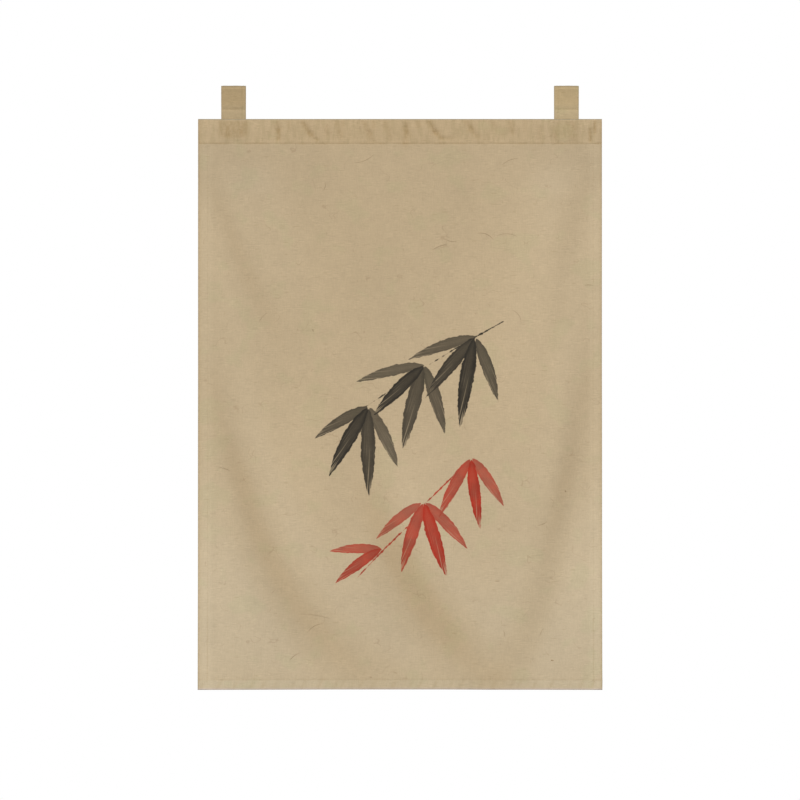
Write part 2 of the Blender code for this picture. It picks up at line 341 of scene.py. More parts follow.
# The longer stray fibres on the front and its few dark nubs: one end, heading in degrees from straight down
# and positive to the right, length, how far it arches for its length, and width.
Fibre = namedtuple("Fibre", "place depth heading length arch width")
FIBRES = [
    Fibre(0.068, 0.276, 112, 0.034, 0.06, 0.0009),
    Fibre(0.094, 0.252, 78, 0.026, -0.10, 0.0008),
    Fibre(0.163, 0.240, 68, 0.036, 0.14, 0.0010),
    Fibre(0.203, 0.246, 88, 0.044, 0.12, 0.0006),
    Fibre(-0.095, 0.092, 114, 0.044, -0.10, 0.0007),
    Fibre(0.215, 0.097, 113, 0.036, 0.10, 0.0006),
    Fibre(-0.297, 0.428, 139, 0.028, 0.06, 0.0007),
    Fibre(0.236, 0.402, 34, 0.034, 0.16, 0.0006),
    Fibre(0.388, 0.350, 91, 0.018, 0.04, 0.0010),
    Fibre(-0.158, 0.133, -14, 0.018, 0.16, 0.0008),
    Fibre(-0.381, 0.733, 72, 0.024, 0.06, 0.0011),
    Fibre(0.289, 0.855, 112, 0.022, -0.08, 0.0008),
    Fibre(-0.195, 1.081, 120, 0.040, 0.12, 0.0008),
    Fibre(-0.215, 1.042, 82, 0.070, 0.05, 0.0005),
    Fibre(-0.232, 1.139, 126, 0.026, 0.08, 0.0009),
    Fibre(0.199, 0.972, 90, 0.011, 0.00, 0.0012),
    Fibre(0.217, 1.075, 9, 0.014, 0.10, 0.0009),
    Fibre(0.294, 1.089, 156, 0.020, 0.08, 0.0007),
    Fibre(-0.184, 0.442, 20, 0.006, 0.00, 0.0016),
    Fibre(0.347, 0.781, 30, 0.005, 0.00, 0.0020),
    Fibre(0.317, 1.138, 80, 0.006, 0.00, 0.0026),
    Fibre(-0.064, 1.174, 85, 0.005, 0.00, 0.0018),
]


def smooth(t):
    """A soft step from 0 to 1 while t goes from 0 to 1."""
    t = np.clip(t, 0, 1)
    return t * t * (3 - 2 * t)


def bell(distance, reach):
    """1 on a line, and little by twice its reach."""
    return np.exp(-((distance / reach) ** 2))


def groove(distance, fall, reach):
    return -fall * bell(distance, reach)


def ripple(t, pitch, sway, slow, offset=0):
    """A wave along t whose crests wander, by sway, in a slower wave."""
    return np.sin(t * pitch + sway * np.sin(t * slow + offset))


def between(sections, depth, column):
    """A column of the table at a depth, rounded off where two of its rows meet."""
    depths = [row.depth for row in sections]
    values = [getattr(row, column) for row in sections]
    steps = BEND * np.linspace(-1, 1, 5)
    return sum(np.interp(depth + step, depths, values) for step in steps) / len(steps)


def off_line(sections, place, depth):
    """The distance from a fold's line, as a share of its reach."""
    step = 0.01
    line, above, below = (between(sections, depth + down, "place") for down in (0, -step, step))
    tilt = (below - above) / (2 * step)
    return (place - line) / np.sqrt(1 + tilt**2) / between(sections, depth, "reach")


def relief(place, depth):
    """How far the hanging cloth stands forward of the plane of its top edge."""
    forward = BELLY * smooth((depth - HANG_START) / BELLY_LENGTH)
    for swag in SWAGS.values():
        t = off_line(swag.sections, place, depth)
        rise = between(swag.sections, depth, "rise")
        forward = forward + swag.forward * rise * t * np.exp((1 - t * t) / 2)
    for sections in RIDGES.values():
        t = off_line(sections, place, depth)
        forward = forward + between(sections, depth, "rise") * np.exp(-t * t / 2)
    for corner in CORNERS:
        away = np.hypot(place - corner.place, depth - corner.depth) / corner.reach
        forward = forward + corner.rise * np.exp(-away * away / 2)
    return forward * smooth((depth - HANG_START) / HANG_FADE)


def fullness(place, depth):
    """How far the front of the turned header stands off its back: most halfway down, little at the fold and
    nothing at its seam."""
    full = HEADER_FULLNESS
    for pinch in PINCHES:
        full = full * (1 - pinch.share * bell(place - pinch.place, pinch.width))
    across = FOLD_FULLNESS + (full - FOLD_FULLNESS) * smooth((depth + 0.004) / 0.022)
    return across * smooth((HEADER_SEAM - depth) / 0.034)


def to_segment(place, depth, crease):
    """The distance from the straight line of a crease."""
    along = np.array([crease.end_place - crease.place, crease.end_depth - crease.depth])
    share = ((place - crease.place) * along[0] + (depth - crease.depth) * along[1]) / (along @ along)
    share = np.clip(share, 0, 1)
    return np.hypot(place - crease.place - share * along[0], depth - crease.depth - share * along[1])


def header_creases(place, depth):
    fall = 0
    for crease in CREASES:
        fall = fall + crease.fall * bell(to_segment(place, depth, crease), crease.reach)
    return -fall * smooth((HEADER_SEAM - 0.001 - depth) / 0.004)


def tail_print(place, depth):
    """The straps' ends raise the header a little where they lie behind it."""
    raised = 0
    for centre in (-TAB_CENTRE, TAB_CENTRE):
        inside = TAB_WIDTH / 2 - np.abs(place - centre)
        raised = raised + TAIL_PRINT * smooth(inside / 0.005 + 0.5)
    return raised * smooth((HEADER_SEAM - 0.003 - depth) / 0.006)


def hem_distance(place, depth):
    """How far a spot lies inside the seams of the left, the right and the bottom hem."""
    half = PANEL_WIDTH / 2
    left = place + half - SIDE_HEM_LEFT
    right = half - SIDE_HEM_RIGHT - place
    return left, right, PANEL_HEIGHT - BOTTOM_HEM - depth


def puckers(place, depth):
    """The seams draw the cloth up in short waves across them."""
    left, right, bottom = hem_distance(place, depth)
    wave = ripple(place, 430, 1.5, 37) + 0.7 * ripple(place, 271, 2, 23, 1)
    at_bottom = BOTTOM_STITCHING.pucker * wave * bell(bottom, BOTTOM_STITCHING.pucker_reach)
    at_header = HEADER_STITCHING.pucker * wave * bell(depth - HEADER_SEAM, HEADER_STITCHING.pucker_reach)
    down = ripple(depth, 310, 2, 21) + 0.6 * ripple(depth, 173, 1.4, 31, 2)
    beside = bell(left, SIDE_STITCHING.pucker_reach) + bell(right, SIDE_STITCHING.pucker_reach)
    at_sides = SIDE_STITCHING.pucker * down * beside
    return at_bottom + at_header + at_sides * smooth((depth - HEADER_DEPTH) / 0.02)


def below_header(depth):
    return smooth((depth - HEADER_SEAM) / 0.002)


def near_bottom(depth):
    return smooth((depth - 1.02) / 0.05)


def seam_grooves(place, depth):
    """The seams sink into the cloth, and those of the side hems most of all near the bottom."""
    left, right, bottom = hem_distance(place, depth)
    sides = groove(left, *SIDE_STITCHING[:2]) + groove(right, *SIDE_STITCHING[:2])
    sides = sides * (below_header(depth) * (0.3 + 0.7 * near_bottom(depth)))
    return groove(depth - HEADER_SEAM, *HEADER_STITCHING[:2]) + sides + groove(bottom, *BOTTOM_STITCHING[:2])


def uneven(along):
    """From 0 to 1, now more and now less along a seam."""
    return 0.5 + 0.25 * (ripple(along, 61, 2, 17) + np.sin(along * 151 + 1))


def painted_shade_marks(place, depth):
    """Where shade is painted on the cloth, 1 being the darkest: in the header's creases, over the straps'
    ends, along the seams, in slanting waves across the bottom hem, and at the side edges."""
    marks = 0
    for crease in CREASES:
        away = to_segment(place, depth, crease) / crease.reach
        marks = marks + crease.dark * (0.7 * bell(away, 1) + 0.3 * bell(away, 1.8))
    inner = smooth((HEADER_SEAM - 0.004 - depth) / 0.014) * smooth((depth + 0.014) / 0.014)
    for centre, strength in ((-TAB_CENTRE, 0.66), (TAB_CENTRE, 0.30)):
        marks = marks + strength * smooth((0.036 - np.abs(place - centre)) / 0.024) * inner
    left, right, bottom = hem_distance(place, depth)
    marks = marks + (0.10 + 0.70 * uneven(place)) * bell(depth - HEADER_SEAM, 0.0019)
    strength = 0.04 * uneven(depth) + 0.20 * near_bottom(depth)
    for distance in (left, right):
        marks = marks + strength * bell(distance, 0.0018) * below_header(depth)
    marks = marks + 0.24 * uneven(place) ** 2 * bell(bottom, 0.0024)
    slanted = place + 0.5 * depth
    wave = ripple(slanted, 330, 2, 29) + 0.8 * ripple(slanted, 190, 2, 19)
    marks = marks + 0.20 * np.maximum(wave, 0) * bell(bottom + 0.010, 0.011)
    at_left = np.exp(-(place + PANEL_WIDTH / 2) / 0.0038)
    at_right = np.exp(-(PANEL_WIDTH / 2 - place) / 0.0026)
    return marks + 0.85 * (at_left + at_right) * smooth((depth + 0.001) / 0.002)


def downward_lean(place, depth):
    """How far the hanging folds face down, up to 1, or face up, down to -1, which sets their warm painted
    shade and cool painted light.
    """
    step = 0.004
    fall = (relief(place, depth - step) - relief(place, depth + step)) / (2 * step)
    return np.clip(fall / LEAN_SHOWN, -1, 1)


def front_y(place, depth):
    forward = relief(place, depth) + fullness(place, depth) + header_creases(place, depth)
    forward = forward + tail_print(place, depth) + puckers(place, depth) + seam_grooves(place, depth)
    return PANEL_FACE - forward


def with_seam(lines, seams):
    """Grid lines, with close ones at each seam."""
    close = [-0.0030, -0.0018, -0.0009, 0, 0.0009, 0.0018, 0.0030]
    near = sorted(seam + step for seam in seams for step in close)
    far = [line for line in lines if min(abs(line - other) for other in near) > 0.0012]
    return np.array(sorted(far + near))


def panel_columns():
    half = PANEL_WIDTH / 2
    return with_seam(np.linspace(-half, half, 284), [SIDE_HEM_LEFT - half, half - SIDE_HEM_RIGHT])


def panel_depths():
    """The depths of the front's rows, from the bottom edge up."""
    header = np.linspace(0.006, HEADER_SEAM - 0.003, 16)
    body = np.linspace(HEADER_SEAM + 0.004, PANEL_HEIGHT - BOTTOM_HEM - 0.005, 110)
    hem = np.linspace(PANEL_HEIGHT - BOTTOM_HEM + 0.004, PANEL_HEIGHT, 8)
    rows = with_seam(np.concatenate([header, body, hem]), [HEADER_SEAM, PANEL_HEIGHT - BOTTOM_HEM])
    return rows[::-1]


def link_object(name, data):
    made = bpy.data.objects.new(name, data)
    bpy.context.scene.collection.objects.link(made)
    return made


def grid_object(name, points, flat, marks):
    """An open sheet through a grid of points (stations, columns, 3). flat gives each point's place on the
    cloth before it was hung, which the weave and the printed design follow, and marks names further values
    of its points, such as how much painted shade each gets."""
    stations, columns = points.shape[:2]
    bm = bmesh.new()
    bmesh.ops.create_grid(bm, x_segments=columns - 1, y_segments=stations - 1, size=0.5)
    bm.verts.index_update()
    layer = bm.loops.layers.uv.new("cloth")
    spots = {}
    for vertex in bm.verts:
        spot = (round((vertex.co.y + 0.5) * (stations - 1)), round((vertex.co.x + 0.5) * (columns - 1)))
        spots[vertex] = spot
    for vertex, spot in spots.items():
        vertex.co = points[spot]
        for loop in vertex.link_loops:
            loop[layer].uv = flat[spot]
    order = [spots[vertex] for vertex in bm.verts]
    mesh = bpy.data.meshes.new(name)
    bm.to_mesh(mesh)
    bm.free()
    mesh.shade_smooth()
    for mark, values in marks.items():
        layer = mesh.attributes.new(mark, "FLOAT", "POINT")
        layer.data.foreach_set("value", [float(values[spot]) for spot in order])
    return link_object(name, mesh), order


def turned_header(x, front_top):
    """The rows of the header that follow the front's top row, whose y is front_top: round the fold and down
    the back. With them come their depths on the flat cloth."""
    edge = np.ones(len(x))
    radius = (HEADER_BACK_FACE - front_top) / 2
    rows, depths = [], []
    for angle in np.radians([10, 30, 50, 70, 90, 110, 130, 150, 170]):
        middle = HEADER_BACK_FACE - radius * (1 + math.cos(angle))
        rows.append(np.stack([x, middle, PANEL_TOP - radius * (1 - math.sin(angle))], axis=-1))
        depths.append(FOLD_LENGTH / 2 - FOLD_LENGTH * angle / math.pi)
    for down in (0.006, 0.014, 0.024, 0.034, 0.044, HEADER_DEPTH):
        rows.append(np.stack([x, HEADER_BACK_FACE * edge, (PANEL_TOP - down) * edge], axis=-1))
        depths.append(-down)
    return rows, np.outer(depths, edge)


def thicken(sheet, thickness, offset):
    solidify = sheet.modifiers.new("cloth", "SOLIDIFY")
    solidify.thickness = thickness
    solidify.offset = offset
    return solidify


def thicken_hems(panel, order, place, depth):
    """The panel's cloth is two layers thick in its hems and three in its lower corners."""
    left, right, bottom = hem_distance(place, depth)
    side_hem = (np.minimum(left, right) < 0.0004) & (depth > HEADER_DEPTH + 0.002)
    layers = 1 + side_hem + (bottom < 0.0004)
    group = panel.vertex_groups.new(name="layers")
    for index, (station, column) in enumerate(order):
        count = layers[station, column] if station < len(layers) else 1
        group.add([index], count / MOST_LAYERS, "REPLACE")
    solidify = thicken(panel, CLOTH * MOST_LAYERS, -1)
    solidify.vertex_group = group.name
    solidify.material_offset = 1


def make_panel(face, back):
    place, depth = np.meshgrid(panel_columns(), panel_depths())
    y = front_y(place, depth)
    front = np.stack([place, y, PANEL_TOP - depth], axis=-1)
    x = place[0]
    turned, turned_depth = turned_header(x, y[-1])
    points = np.concatenate([front, turned])
    flat_depth = np.concatenate([depth, turned_depth])
    flat = np.stack([np.broadcast_to(x, flat_depth.shape), -flat_depth], axis=-1)
    # How much painted shade each point of the front gets.
    painted_shade = np.zeros(flat_depth.shape)
    painted_shade[: len(depth)] = np.clip(painted_shade_marks(place, depth), 0, 1)
    # How far each point faces down or up, for the painted shade and painted light on the folds.
    lean = np.zeros(flat_depth.shape)
    lean[: len(depth)] = downward_lean(place, depth)
    panel, order = grid_object("curtain_panel", points, flat, {"painted_shade": painted_shade, "lean": lean})
    thicken_hems(panel, order, place, depth)
    panel.modifiers.new("even_edges", "WEIGHTED_NORMAL").weight = 80
    panel.data.materials.append(face)
    panel.data.materials.append(back)
    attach(panel, "root")
    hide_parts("panel")


def tab_path():
    """(y, z) along the strap's middle: up the front leg, round the place of the pole and down the back leg.
    Above the seam the legs part slowly, along a smooth curve."""
    seam = np.array([-LEG_Y, SEAM_Z])
    meet_angle = math.radians(LEG_MEETS_LOOP_DEGREES)
    meet = LOOP_RADIUS * np.array([math.cos(meet_angle), math.sin(meet_angle)])
    heading = np.array([math.sin(meet_angle), -math.cos(meet_angle)])
    handles = [seam, seam + (0, 0.012), meet - 0.018 * heading, meet]
    parting = []
    for t in np.linspace(0.05, 1, 18):
        weights = [math.comb(3, i) * (1 - t) ** (3 - i) * t**i for i in range(4)]
        parting.append(sum(weight * spot for weight, spot in zip(weights, handles)))
    leg = [(-LEG_Y, z) for z in np.linspace(PANEL_TOP - TAB_TAIL, SEAM_Z, 30)]
    angles = np.linspace(meet_angle, math.pi / 2, 20)[1:]
    arc = [(LOOP_RADIUS * math.cos(a), LOOP_RADIUS * math.sin(a)) for a in angles]
    rising = leg + [tuple(spot) for spot in parting] + arc
    return np.array(rising + [(-y, z) for y, z in reversed(rising[:-1])])


def lengths_along(path):
    return np.concatenate([[0], np.cumsum(np.hypot(*np.diff(path, axis=0).T))])


def strap_relief(across, z, join):
    """Outward swelling of the strap: soft between its edges and its seam, with the line of its join."""
    edge = TAB_WIDTH / 2 - np.abs(across)
    swell = 0.0004 * smooth(edge / 0.006) * (1 - bell(z - SEAM_Z, 0.0045))
    wave = 0.00012 * np.sin(across * 240 + z * 90) * np.sin(z * 210 + across * 60)
    return swell + groove(across - join, 0.0003, 0.0011) + wave + groove(z - SEAM_Z, 0.0003, 0.0014)


def strap_painted_shade(across, z, join):
    """Where shade is painted on the strap, 1 being the darkest: along its join, its seam and its edges."""
    edge = TAB_WIDTH / 2 - np.abs(across)
    marks = 0.30 * bell(across - join, 0.0014) * smooth((z - SEAM_Z + 0.03) / 0.01)
    marks = marks + (0.10 + 0.25 * smooth(edge / 0.012)) * bell(z - SEAM_Z, 0.0022)
    return marks + 0.35 * smooth(1 - edge / 0.0030)


def make_tab(side, centre, material):
    path = tab_path()
    along = np.gradient(path, axis=0)
    normal = np.stack([-along[:, 1], along[:, 0]], axis=-1)
    normal = normal / np.linalg.norm(normal, axis=-1, keepdims=True)
    across = TAB_WIDTH * np.linspace(-0.5, 0.5, 35)
    length = lengths_along(path)
    z = path[:, 1][:, None]
    join = -math.copysign(1, centre) * (TAB_WIDTH / 2 - STRAP_JOIN)
    behind = smooth((PANEL_TOP - z) / 0.004)
    outward = strap_relief(across[None, :], z, join) * (1 - behind)
    points = np.empty((len(path), len(across), 3))
    points[..., 0] = centre + across
    points[..., 1:] = path[:, None, :] + normal[:, None, :] * outward[..., None]
    flat_length = length[:, None] + STRAP_FLAT_START
    flat = np.stack(np.broadcast_arrays(centre + across[None, :], flat_length), axis=-1)
    # Painted shade on the strap along its join, its seam and its edges.
    painted_shade = np.clip(strap_painted_shade(across[None, :], z, join), 0, 1)
    tab, _ = grid_object(f"loop_{side}", points, flat, {"painted_shade": painted_shade})
    thicken(tab, STRAP, 0)
    tab.data.materials.append(material)
    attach(tab, "root")
    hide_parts(f"tab_{side}")


def stitch_matrices(start, end, surface, rng):
    """Where each stitch of a row lies, from start to end as (x, z) pairs, on y = surface(x, z)."""
    run = Vector((end[0] - start[0], 0, end[1] - start[1]))
    count = int(run.length / STITCH_PITCH)
    turn = math.atan2(-run.z, run.x)
    shares = (np.arange(count) + 0.5) / count
    x, z = start[0] + run.x * shares, start[1] + run.z * shares
    size = Matrix.Diagonal((STITCH_LENGTH / 2, THREAD / 2, THREAD / 2, 1))
    placed = []
    for spot in zip(x, surface(x, z), z):
        lean = Matrix.Rotation(turn + rng.uniform(-0.06, 0.06), 4, "Y")
        placed.append(Matrix.Translation(spot) @ lean @ size)
    return placed


def small_shapes(name, corners, faces, material):
    mesh = bpy.data.meshes.new(name)
    mesh.from_pydata(corners, [], faces)
    mesh.shade_smooth()
    mesh.materials.append(material)
    made = link_object(name, mesh)
    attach(made, "root")


def stitches(name, rows, material):
    """All the stitches of some rows as one object: copies of one small rounded stitch."""
    bm = bmesh.new()
    bmesh.ops.create_uvsphere(bm, u_segments=6, v_segments=5, radius=1)
    shape = np.array([(*vertex.co, 1) for vertex in bm.verts])
    sides = [[vertex.index for vertex in side.verts] for side in bm.faces]
    bm.free()
    rng = random.Random(7)
    corners, faces = [], []
    for start, end, surface in rows:
        for matrix in stitch_matrices(start, end, surface, rng):
            first = len(corners)
            corners.extend((shape @ np.array(matrix).T)[:, :3].tolist())
            faces.extend([first + index for index in side] for side in sides)
    small_shapes(name, corners, faces, material)


def on_front(x, z):
    return front_y(x, PANEL_TOP - z) - STITCH_LIFT


def on_back(x, z):
    return front_y(x, PANEL_TOP - z) + CLOTH * 2 + STITCH_LIFT


def on_header_back(x, z):
    return np.full(len(x), HEADER_BACK_FACE + STITCH_LIFT)


def make_seams(thread):
    half = PANEL_WIDTH / 2
    top, header = PANEL_TOP, PANEL_TOP - HEADER_SEAM
    bottom = top - PANEL_HEIGHT + BOTTOM_HEM
    left, right = SIDE_HEM_LEFT - half, half - SIDE_HEM_RIGHT
    ends = half - 0.002
    across = ((-ends, header), (ends, header))
    sides = [((x, header - 0.003), (x, bottom)) for x in (left, right)]
    hem = ((-ends, bottom), (ends, bottom))
    front = [(*across, on_front)] + [(*side, on_front) for side in sides] + [(*hem, on_front)]
    behind = [(*across, on_header_back)] + [(*side, on_back) for side in sides] + [(*hem, on_back)]
    stitches("seam_stitches_front", front, thread)
    stitches("seam_stitches_back", behind, thread)
    rows = []
    face = LEG_Y + STRAP / 2 - 0.0002
    for centre in (-TAB_CENTRE, TAB_CENTRE):
        row = [(centre + TAB_WIDTH * share, SEAM_Z) for share in (-0.47, 0.47)]
        rows.append((*row, lambda x, z: np.full(len(x), -face)))
        rows.append((*row, lambda x, z: np.full(len(x), face)))
    stitches("loop_stitches", rows, thread)


def make_fibres(material):
    """The stray fibres and nubs, as one object of slender tubes that lie on the front of the cloth."""
    along = np.linspace(0, 1, 13)
    corners, faces = [], []
    for fibre in FIBRES:
        right, down = math.sin(math.radians(fibre.heading)), math.cos(math.radians(fibre.heading))
        arch = fibre.arch * fibre.length * 4 * along * (1 - along)
        half = fibre.width / 2 * (0.1 + 0.9 * np.sqrt(np.sin(math.pi * along)))
        first = len(corners)
        for side, rise in ((1, 0), (0, 1), (-1, 0), (0, -1)):
            place = fibre.place + fibre.length * along * right + (arch + side * half) * down
            depth = fibre.depth + fibre.length * along * down - (arch + side * half) * right
            y = front_y(place, depth) - 0.00015 - 0.5 * rise * half
            corners.extend(zip(place.tolist(), y.tolist(), (PANEL_TOP - depth).tolist()))
        count = len(along)
        for corner in range(4):
            here, beside = first + corner * count, first + (corner + 1) % 4 * count
            faces.extend((here + i, here + i + 1, beside + i + 1, beside + i) for i in range(count - 1))
        ends = [first + corner * count for corner in range(4)]
        faces.extend([ends, [end + count - 1 for end in reversed(ends)]])
    small_shapes("stray_fibres", corners, faces, material)


class Nodes:
    """Short calls that add nodes to a node tree."""

    def __init__(self, tree):
        self.tree = tree

    def add(self, kind, inputs, **settings):
        node = self.tree.nodes.new(kind)
        for name, value in settings.items():
            setattr(node, name, value)
        for key, value in inputs.items():
            if isinstance(value, bpy.types.NodeSocket):
                self.tree.links.new(value, node.inputs[key])
            else:
                node.inputs[key].default_value = value
        return node

    def math(self, operation, *values):
        return self.add("ShaderNodeMath", dict(enumerate(values)), operation=operation).outputs[0]

    def scaled(self, vector, across, down):
        inputs = {0: vector, 1: (across, down, 1)}
        return self.add("ShaderNodeVectorMath", inputs, operation="MULTIPLY").outputs[0]

    def noise(self, vector, detail=2.0, distortion=0.0):
        inputs = {"Vector": vector, "Scale": 1.0, "Detail": detail, "Distortion": distortion}
        return self.add("ShaderNodeTexNoise", inputs, noise_dimensions="2D").outputs[0]

    def ramp(self, value, low, high, start=0.0, end=1.0):
        inputs = {"Value": value, "From Min": low, "From Max": high, "To Min": start, "To Max": end}
        return self.add("ShaderNodeMapRange", inputs, interpolation_type="SMOOTHSTEP").outputs[0]

    def attribute(self, name):
        return self.add("ShaderNodeAttribute", {}, attribute_name=name).outputs["Fac"]

    def toned(self, colour, tone):
        grey = self.add("ShaderNodeCombineColor", {0: tone, 1: tone, 2: tone}).outputs[0]
        return self.mix(1.0, colour, grey, "MULTIPLY")

    def tinted(self, colour, share, tint):
        """The colour, multiplied by a tint where share is 1."""
        return self.mix(share, colour, self.mix(1.0, colour, (*tint, 1), "MULTIPLY"))

    def mix(self, share, first, second, blend="MIX"):
        inputs = {0: share, 6: first, 7: second}
        return self.add("ShaderNodeMix", inputs, data_type="RGBA", blend_type=blend).outputs[2]


def leaf_group():
    """The shape of one brushed leaf. In its own coordinates, x is 0 at its foot and 1 at its tip."""
    tree = bpy.data.node_groups.new("brushed leaf", "ShaderNodeTree")
    tree.interface.new_socket(name="Local", in_out="INPUT", socket_type="NodeSocketVector")
    for name in ("Slim", "Bend", "Wobble"):
        tree.interface.new_socket(name=name, in_out="INPUT", socket_type="NodeSocketFloat")
    tree.interface.new_socket(name="Ink", in_out="OUTPUT", socket_type="NodeSocketFloat")
    nodes = Nodes(tree)
    given = nodes.add("NodeGroupInput", {})
    local = nodes.add("ShaderNodeSeparateXYZ", {0: given.outputs["Local"]})
    along = nodes.add("ShaderNodeClamp", {0: local.outputs[0], 1: 0.0, 2: 1.0}).outputs[0]
    curve = nodes.math("MULTIPLY", nodes.math("MULTIPLY", along, along), given.outputs["Bend"])
    across = nodes.math("ABSOLUTE", nodes.math("SUBTRACT", local.outputs[1], curve))
    across = nodes.math("ADD", across, nodes.math("MULTIPLY", given.outputs["Wobble"], 0.03))
    swell = nodes.math("POWER", along, 0.6)
    taper = nodes.math("POWER", nodes.math("SUBTRACT", 1.0, along), 0.85)
    half = nodes.math("MULTIPLY", nodes.math("MULTIPLY", swell, taper), given.outputs["Slim"])
    beyond = nodes.math("ABSOLUTE", nodes.math("SUBTRACT", local.outputs[0], along))
    inside = nodes.math("SUBTRACT", nodes.math("SUBTRACT", half, across), beyond)
    mask = nodes.math("MULTIPLY", nodes.ramp(inside, 0.0, 0.010), nodes.ramp(inside, 0.01, 0.07, 1.0, 0.94))
    streaks = nodes.noise(nodes.scaled(given.outputs["Local"], 2.5, 70), 1)
    dry = nodes.math("MULTIPLY", nodes.ramp(streaks, 0.50, 0.72), nodes.ramp(along, 0.35, 1.0, 0.05, 0.55))
    ink = nodes.math("MULTIPLY", mask, nodes.math("SUBTRACT", 1.0, dry))
    out = nodes.add("NodeGroupOutput", {})
    tree.links.new(ink, out.inputs["Ink"])
    return tree


def brushed(nodes, cloth, wobble, leaves, group):
    """How much ink a spray of leaves lays on each spot of the cloth."""
    ink = None
    for leaf in leaves:
        inputs = {
            "Vector": cloth,
            "Location": (leaf.place, -leaf.depth, 0),
            "Rotation": (0, 0, math.radians(leaf.heading - 90)),
            "Scale": (leaf.length, leaf.length, 1),
        }
        local = nodes.add("ShaderNodeMapping", inputs, vector_type="TEXTURE").outputs[0]
        shape = nodes.tree.nodes.new("ShaderNodeGroup")
        shape.node_tree = group
        nodes.tree.links.new(local, shape.inputs["Local"])
        nodes.tree.links.new(wobble, shape.inputs["Wobble"])
        shape.inputs["Slim"].default_value = 1.35 * leaf.width / leaf.length
        shape.inputs["Bend"].default_value = leaf.bend
        laid = nodes.math("MULTIPLY", shape.outputs[0], leaf.wash)
        ink = laid if ink is None else nodes.math("MAXIMUM", ink, laid)
    return ink


# Soft patches of painted light and painted shade, a little lighter or darker: place, depth, half width, half
# height, tint.
Patch = namedtuple("Patch", "place depth across down tint")
LIGHT_AND_SHADE_PATCHES = [
    Patch(-0.375, 0.085, 0.16, 0.100, 0.945),
    Patch(0.375, 0.075, 0.12, 0.075, 0.955),
    Patch(-0.045, 0.370, 0.07, 0.120, 0.960),
    Patch(0.250, 0.420, 0.14, 0.320, 1.060),
    Patch(0.400, 0.260, 0.06, 0.110, 1.040),
    Patch(0.400, 0.960, 0.07, 0.150, 1.040),
    Patch(-0.395, 0.270, 0.06, 0.120, 1.035),
    Patch(-0.215, 0.730, 0.09, 0.180, 1.050),
    Patch(-0.385, 0.960, 0.07, 0.160, 1.040),
    Patch(0.020, 0.790, 0.10, 0.120, 1.045),
    Patch(-0.335, 0.900, 0.05, 0.080, 0.965),
    Patch(-0.300, 0.985, 0.05, 0.070, 0.955),
    Patch(-0.240, 1.065, 0.06, 0.070, 0.955),
    Patch(-0.035, 0.980, 0.05, 0.070, 0.950),
    Patch(-0.010, 1.070, 0.06, 0.070, 0.955),
    Patch(-0.395, 1.160, 0.08, 0.060, 1.035),
    Patch(-0.190, 0.125, 0.05, 0.090, 0.962),
    Patch(-0.311, 0.120, 0.05, 0.050, 0.975),
    Patch(0.130, 0.185, 0.04, 0.110, 0.970),
    Patch(0.289, 0.260, 0.05, 0.150, 1.025),
]


def painted_light_and_shade_patches(nodes, base, cloth, below):
    for patch in LIGHT_AND_SHADE_PATCHES:
        size = (patch.across, patch.down, 1)
        inputs = {"Vector": cloth, "Location": (patch.place, -patch.depth, 0), "Scale": size}
        local = nodes.add("ShaderNodeMapping", inputs, vector_type="TEXTURE").outputs[0]
        away = nodes.add("ShaderNodeVectorMath", {0: local}, operation="LENGTH").outputs["Value"]
        share = nodes.math("MULTIPLY", nodes.ramp(away, 0.0, 1.5, 1.0, 0.0), below)
        # Painted light or painted shade over each patch.
        base = nodes.tinted(base, share, (patch.tint,) * 3)
    return base


